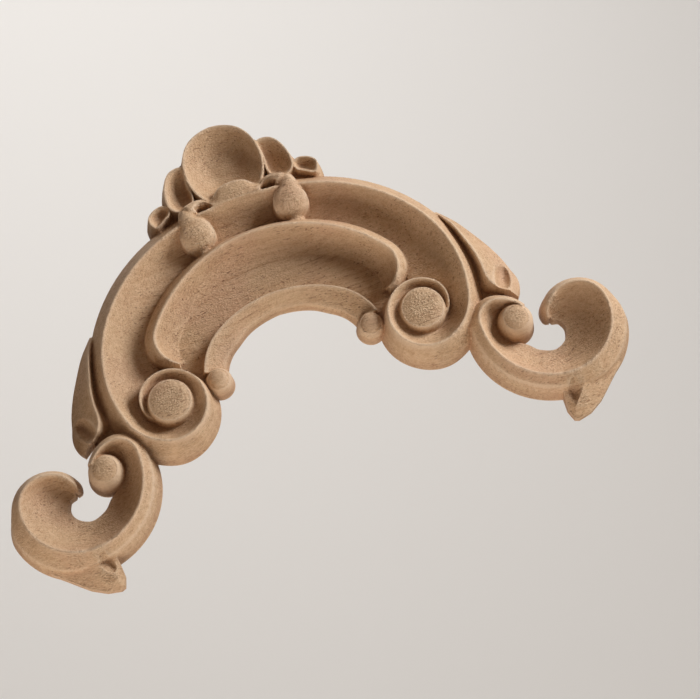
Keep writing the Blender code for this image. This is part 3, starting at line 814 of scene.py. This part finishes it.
showing = dict(  # the noise at which each layer begins, and at which it is full
    fibre=(0.34, 0.68), hair=(0.52, 0.72), line=(0.62, 0.69), lines=(0.44, 0.56), crowd=(0.40, 0.58),
    pore=(0.69, 0.76), pink=(0.50, 0.68), olive=(0.48, 0.66), paleFleck=(0.54, 0.70), darkFleck=(0.46, 0.32),
    paleFuzz=(0.48, 0.62), darkFuzz=(0.50, 0.34))
# hollow sets a painted shade; swell, swellGain, edge and edgeFleck set a painted highlight
tint = dict(  # how strongly each layer colours the wood
    fibre=0.85, pink=0.32, olive=0.10, hair=0.34, line=0.55, paleFleck=0.34, darkFleck=0.26, pore=0.72,
    paleFuzz=0.62, darkFuzz=0.30, hollow=0.34, swell=0.30, swellGain=1.3, edge=0.3, edgeFleck=0.6)
relief = dict(hair=0.20, fleck=0.22, tool=0.25, pore=0.16, line=0.10, fuzz=1.35)


def paleHardwood():
    material = bpy.data.materials.new("paleHardwood")
    material.use_nodes = True
    graph = Graph(material.node_tree)
    shader = material.node_tree.nodes["Principled BSDF"]
    place = graph.node("ShaderNodeTexCoord", {}, {}, "Object") * (1.0 / mm)  # the grain runs along x

    def noiseAt(spot, scale=1.0, detail=2.0, rough=0.5, out=0):
        return graph.node("ShaderNodeTexNoise", {},
                          {"Vector": spot, "Scale": scale, "Detail": detail, "Roughness": rough}, out)

    def pattern(name, spot):
        waves, detail, roughness = patterns[name]
        return noiseAt(spot * waves, 1.0, detail, roughness)

    def patches(name):
        return noiseAt(place + patchShifts[name], patchWaves[name], 1.0).eased(*showing[name])

    def stored(name):
        return graph.node("ShaderNodeAttribute", {"attribute_name": name}, {}, "Fac")

    rough, hollow, edge = stored("rough"), stored("hollow"), stored("edge")
    bend = (noiseAt(place, patchWaves["bend"], 1.0, out=1) - (0.5, 0.5, 0.5)) * bendReach
    grain = place + bend
    fibre, hair, fleck = (pattern(name, grain) for name in ("fibre", "hair", "fleck"))
    fuzz, tool = (pattern(name, place) for name in ("fuzz", "tool"))
    lines = noiseAt(place, patchWaves["line"]).eased(*showing["lines"])
    line = pattern("line", grain).eased(*showing["line"]) * lines
    crowd = poreShare["sparse"] + patches("crowd") * poreShare["crowded"]
    pore = pattern("pore", grain).eased(*showing["pore"]) * crowd * (poreShare["smooth"] - rough)

    layers = (  # where each lies and how strongly, and the colour that it adds
        (patches("pink") * tint["pink"], "pink"), (patches("olive") * tint["olive"], "olive"),
        (hair.eased(*showing["hair"]) * tint["hair"], "streak"), (line * tint["line"], "streak"),
        (fleck.eased(*showing["paleFleck"]) * tint["paleFleck"], "fuzz"),
        (fleck.eased(*showing["darkFleck"]) * tint["darkFleck"], "streak"), (pore * tint["pore"], "pore"),
        (rough * fuzz.eased(*showing["paleFuzz"]) * tint["paleFuzz"], "fuzz"),
        (rough * fuzz.eased(*showing["darkFuzz"]) * tint["darkFuzz"], "streak"),
        # painted shade: the colour darkens in the hollows, where shade falls
        (hollow.clamped() * tint["hollow"], "shade"),
        # painted highlight: the colour lightens on swelling forms and on raised edges, where light catches
        ((hollow * -tint["swellGain"]).clamped() * tint["swell"], "edge"),
        (edge * (tint["edge"] + fleck * tint["edgeFleck"]), "edge"))
    colour = graph.mix(fibre.eased(*showing["fibre"]) * tint["fibre"], woodLook["pale"], woodLook["deep"])
    for factor, name in layers:
        colour = graph.mix(factor, colour, woodLook[name])
    height = (hair * relief["hair"] + fleck * relief["fleck"] + tool * relief["tool"] - pore * relief["pore"]
              - line * relief["line"] + rough * fuzz * relief["fuzz"])
    bump = graph.node("ShaderNodeBump", {}, {"Strength": woodLook["bump"], "Distance": mm, "Height": height})
    graph.feed(shader.inputs["Base Color"], colour)
    shader.inputs["Roughness"].default_value = woodLook["roughness"]
    graph.feed(shader.inputs["Normal"], bump)
    return material


wood = paleHardwood()
carvedForms = makeForms(carvedFormTree(wood))
print("forms made:", len(carvedForms))
onlay = carvedPiece(carvedForms, wood)
print("onlay made")
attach(onlay, "root")
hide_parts("corner_onlay")

# The room
studio = dict(floorHeight=-1.1, farSide=1.6, bend=0.5, bendSteps=12, top=3.6, half=5.0,
              floorColour=(0.84, 0.83, 0.81, 1), floorRoughness=0.9, skyColour=(0.90, 0.66, 0.50, 1),
              skyStrength=0.12)


def addFloor():  # a sheet that lies under the piece and rises behind it
    mesh = bpy.data.meshes.new("floor")
    low, far, bend, high, half = (studio[name] for name in ("floorHeight", "farSide", "bend", "top", "half"))
    turns = np.linspace(0, math.pi / 2, studio["bendSteps"] + 1)
    rise = [(far - bend + bend * math.sin(turn), low + bend - bend * math.cos(turn)) for turn in turns]
    profile = [(-half, low)] + rise + [(far, high)]
    spots = [(x, y, z) for y, z in profile for x in (-half, half)]
    mesh.from_pydata(spots, [], [(2 * i, 2 * i + 1, 2 * i + 3, 2 * i + 2) for i in range(len(profile) - 1)])
    mesh.shade_smooth()
    floor = bpy.data.objects.new("floor", mesh)
    bpy.context.scene.collection.objects.link(floor)
    material = bpy.data.materials.new("palePaper")
    material.use_nodes = True
    shader = material.node_tree.nodes["Principled BSDF"]
    shader.inputs["Base Color"].default_value = studio["floorColour"]
    shader.inputs["Roughness"].default_value = studio["floorRoughness"]
    mesh.materials.append(material)


lamps = dict(
    key=dict(place=(0.88, -0.45, 0.22), aim=(0, 0, -0.02), size=0.42, power=11.2, colour=(1.0, 1.0, 1.0)),
    fill=dict(place=(-0.52, -0.13, -0.85), aim=(0, 0, -0.02), size=0.6, power=6.0, colour=(1.0, 0.89, 0.78)),
    top=dict(place=(-0.10, -0.30, 0.98), aim=(0, 0, -0.02), size=0.6, power=1.3, colour=(1.0, 0.91, 0.82)),
    backdrop=dict(place=(0.0, 0.6, 1.2), aim=(0, 1.6, 0.4), size=1.4, power=13.0, colour=(1.0, 1.0, 1.0)))


def addLamp(name, place, aim, size, power, colour):
    light = bpy.data.lights.new(name, "AREA")
    light.size = size
    light.energy = power
    light.color = colour
    lamp = bpy.data.objects.new(name, light)
    lamp.location = place
    lamp.rotation_euler = (Vector(aim) - Vector(place)).to_track_quat("-Z", "Y").to_euler()
    bpy.context.scene.collection.objects.link(lamp)


def addSky():
    world = bpy.data.worlds.new("studio")
    world.use_nodes = True
    world.node_tree.nodes["Background"].inputs["Color"].default_value = studio["skyColour"]
    world.node_tree.nodes["Background"].inputs["Strength"].default_value = studio["skyStrength"]
    bpy.context.scene.world = world


# The photo's view: the camera's place in metres, and the directions to the right and the top of the picture
cameraView = dict(place=(-0.04737, -0.700, -0.25072), right=(0.93492, 0.01568, -0.35450),
                  up=(0.34389, -0.28645, 0.89425), lens=121.6)


def addCamera():
    right, up = Vector(cameraView["right"]).normalized(), Vector(cameraView["up"])
    back = right.cross(up).normalized()
    turned = Matrix((right, back.cross(right), back)).transposed().to_4x4()
    data = bpy.data.cameras.new("camera")
    data.lens = cameraView["lens"]
    camera = bpy.data.objects.new("camera", data)
    camera.matrix_world = Matrix.Translation(cameraView["place"]) @ turned
    bpy.context.scene.collection.objects.link(camera)
    bpy.context.scene.camera = camera


bpy.context.scene.view_settings.view_transform = "Standard"  # shows the wood's colours as they are
addFloor()
addSky()
for lampName, lampValues in lamps.items():
    addLamp(lampName, **lampValues)
addCamera()
print("room and camera set")
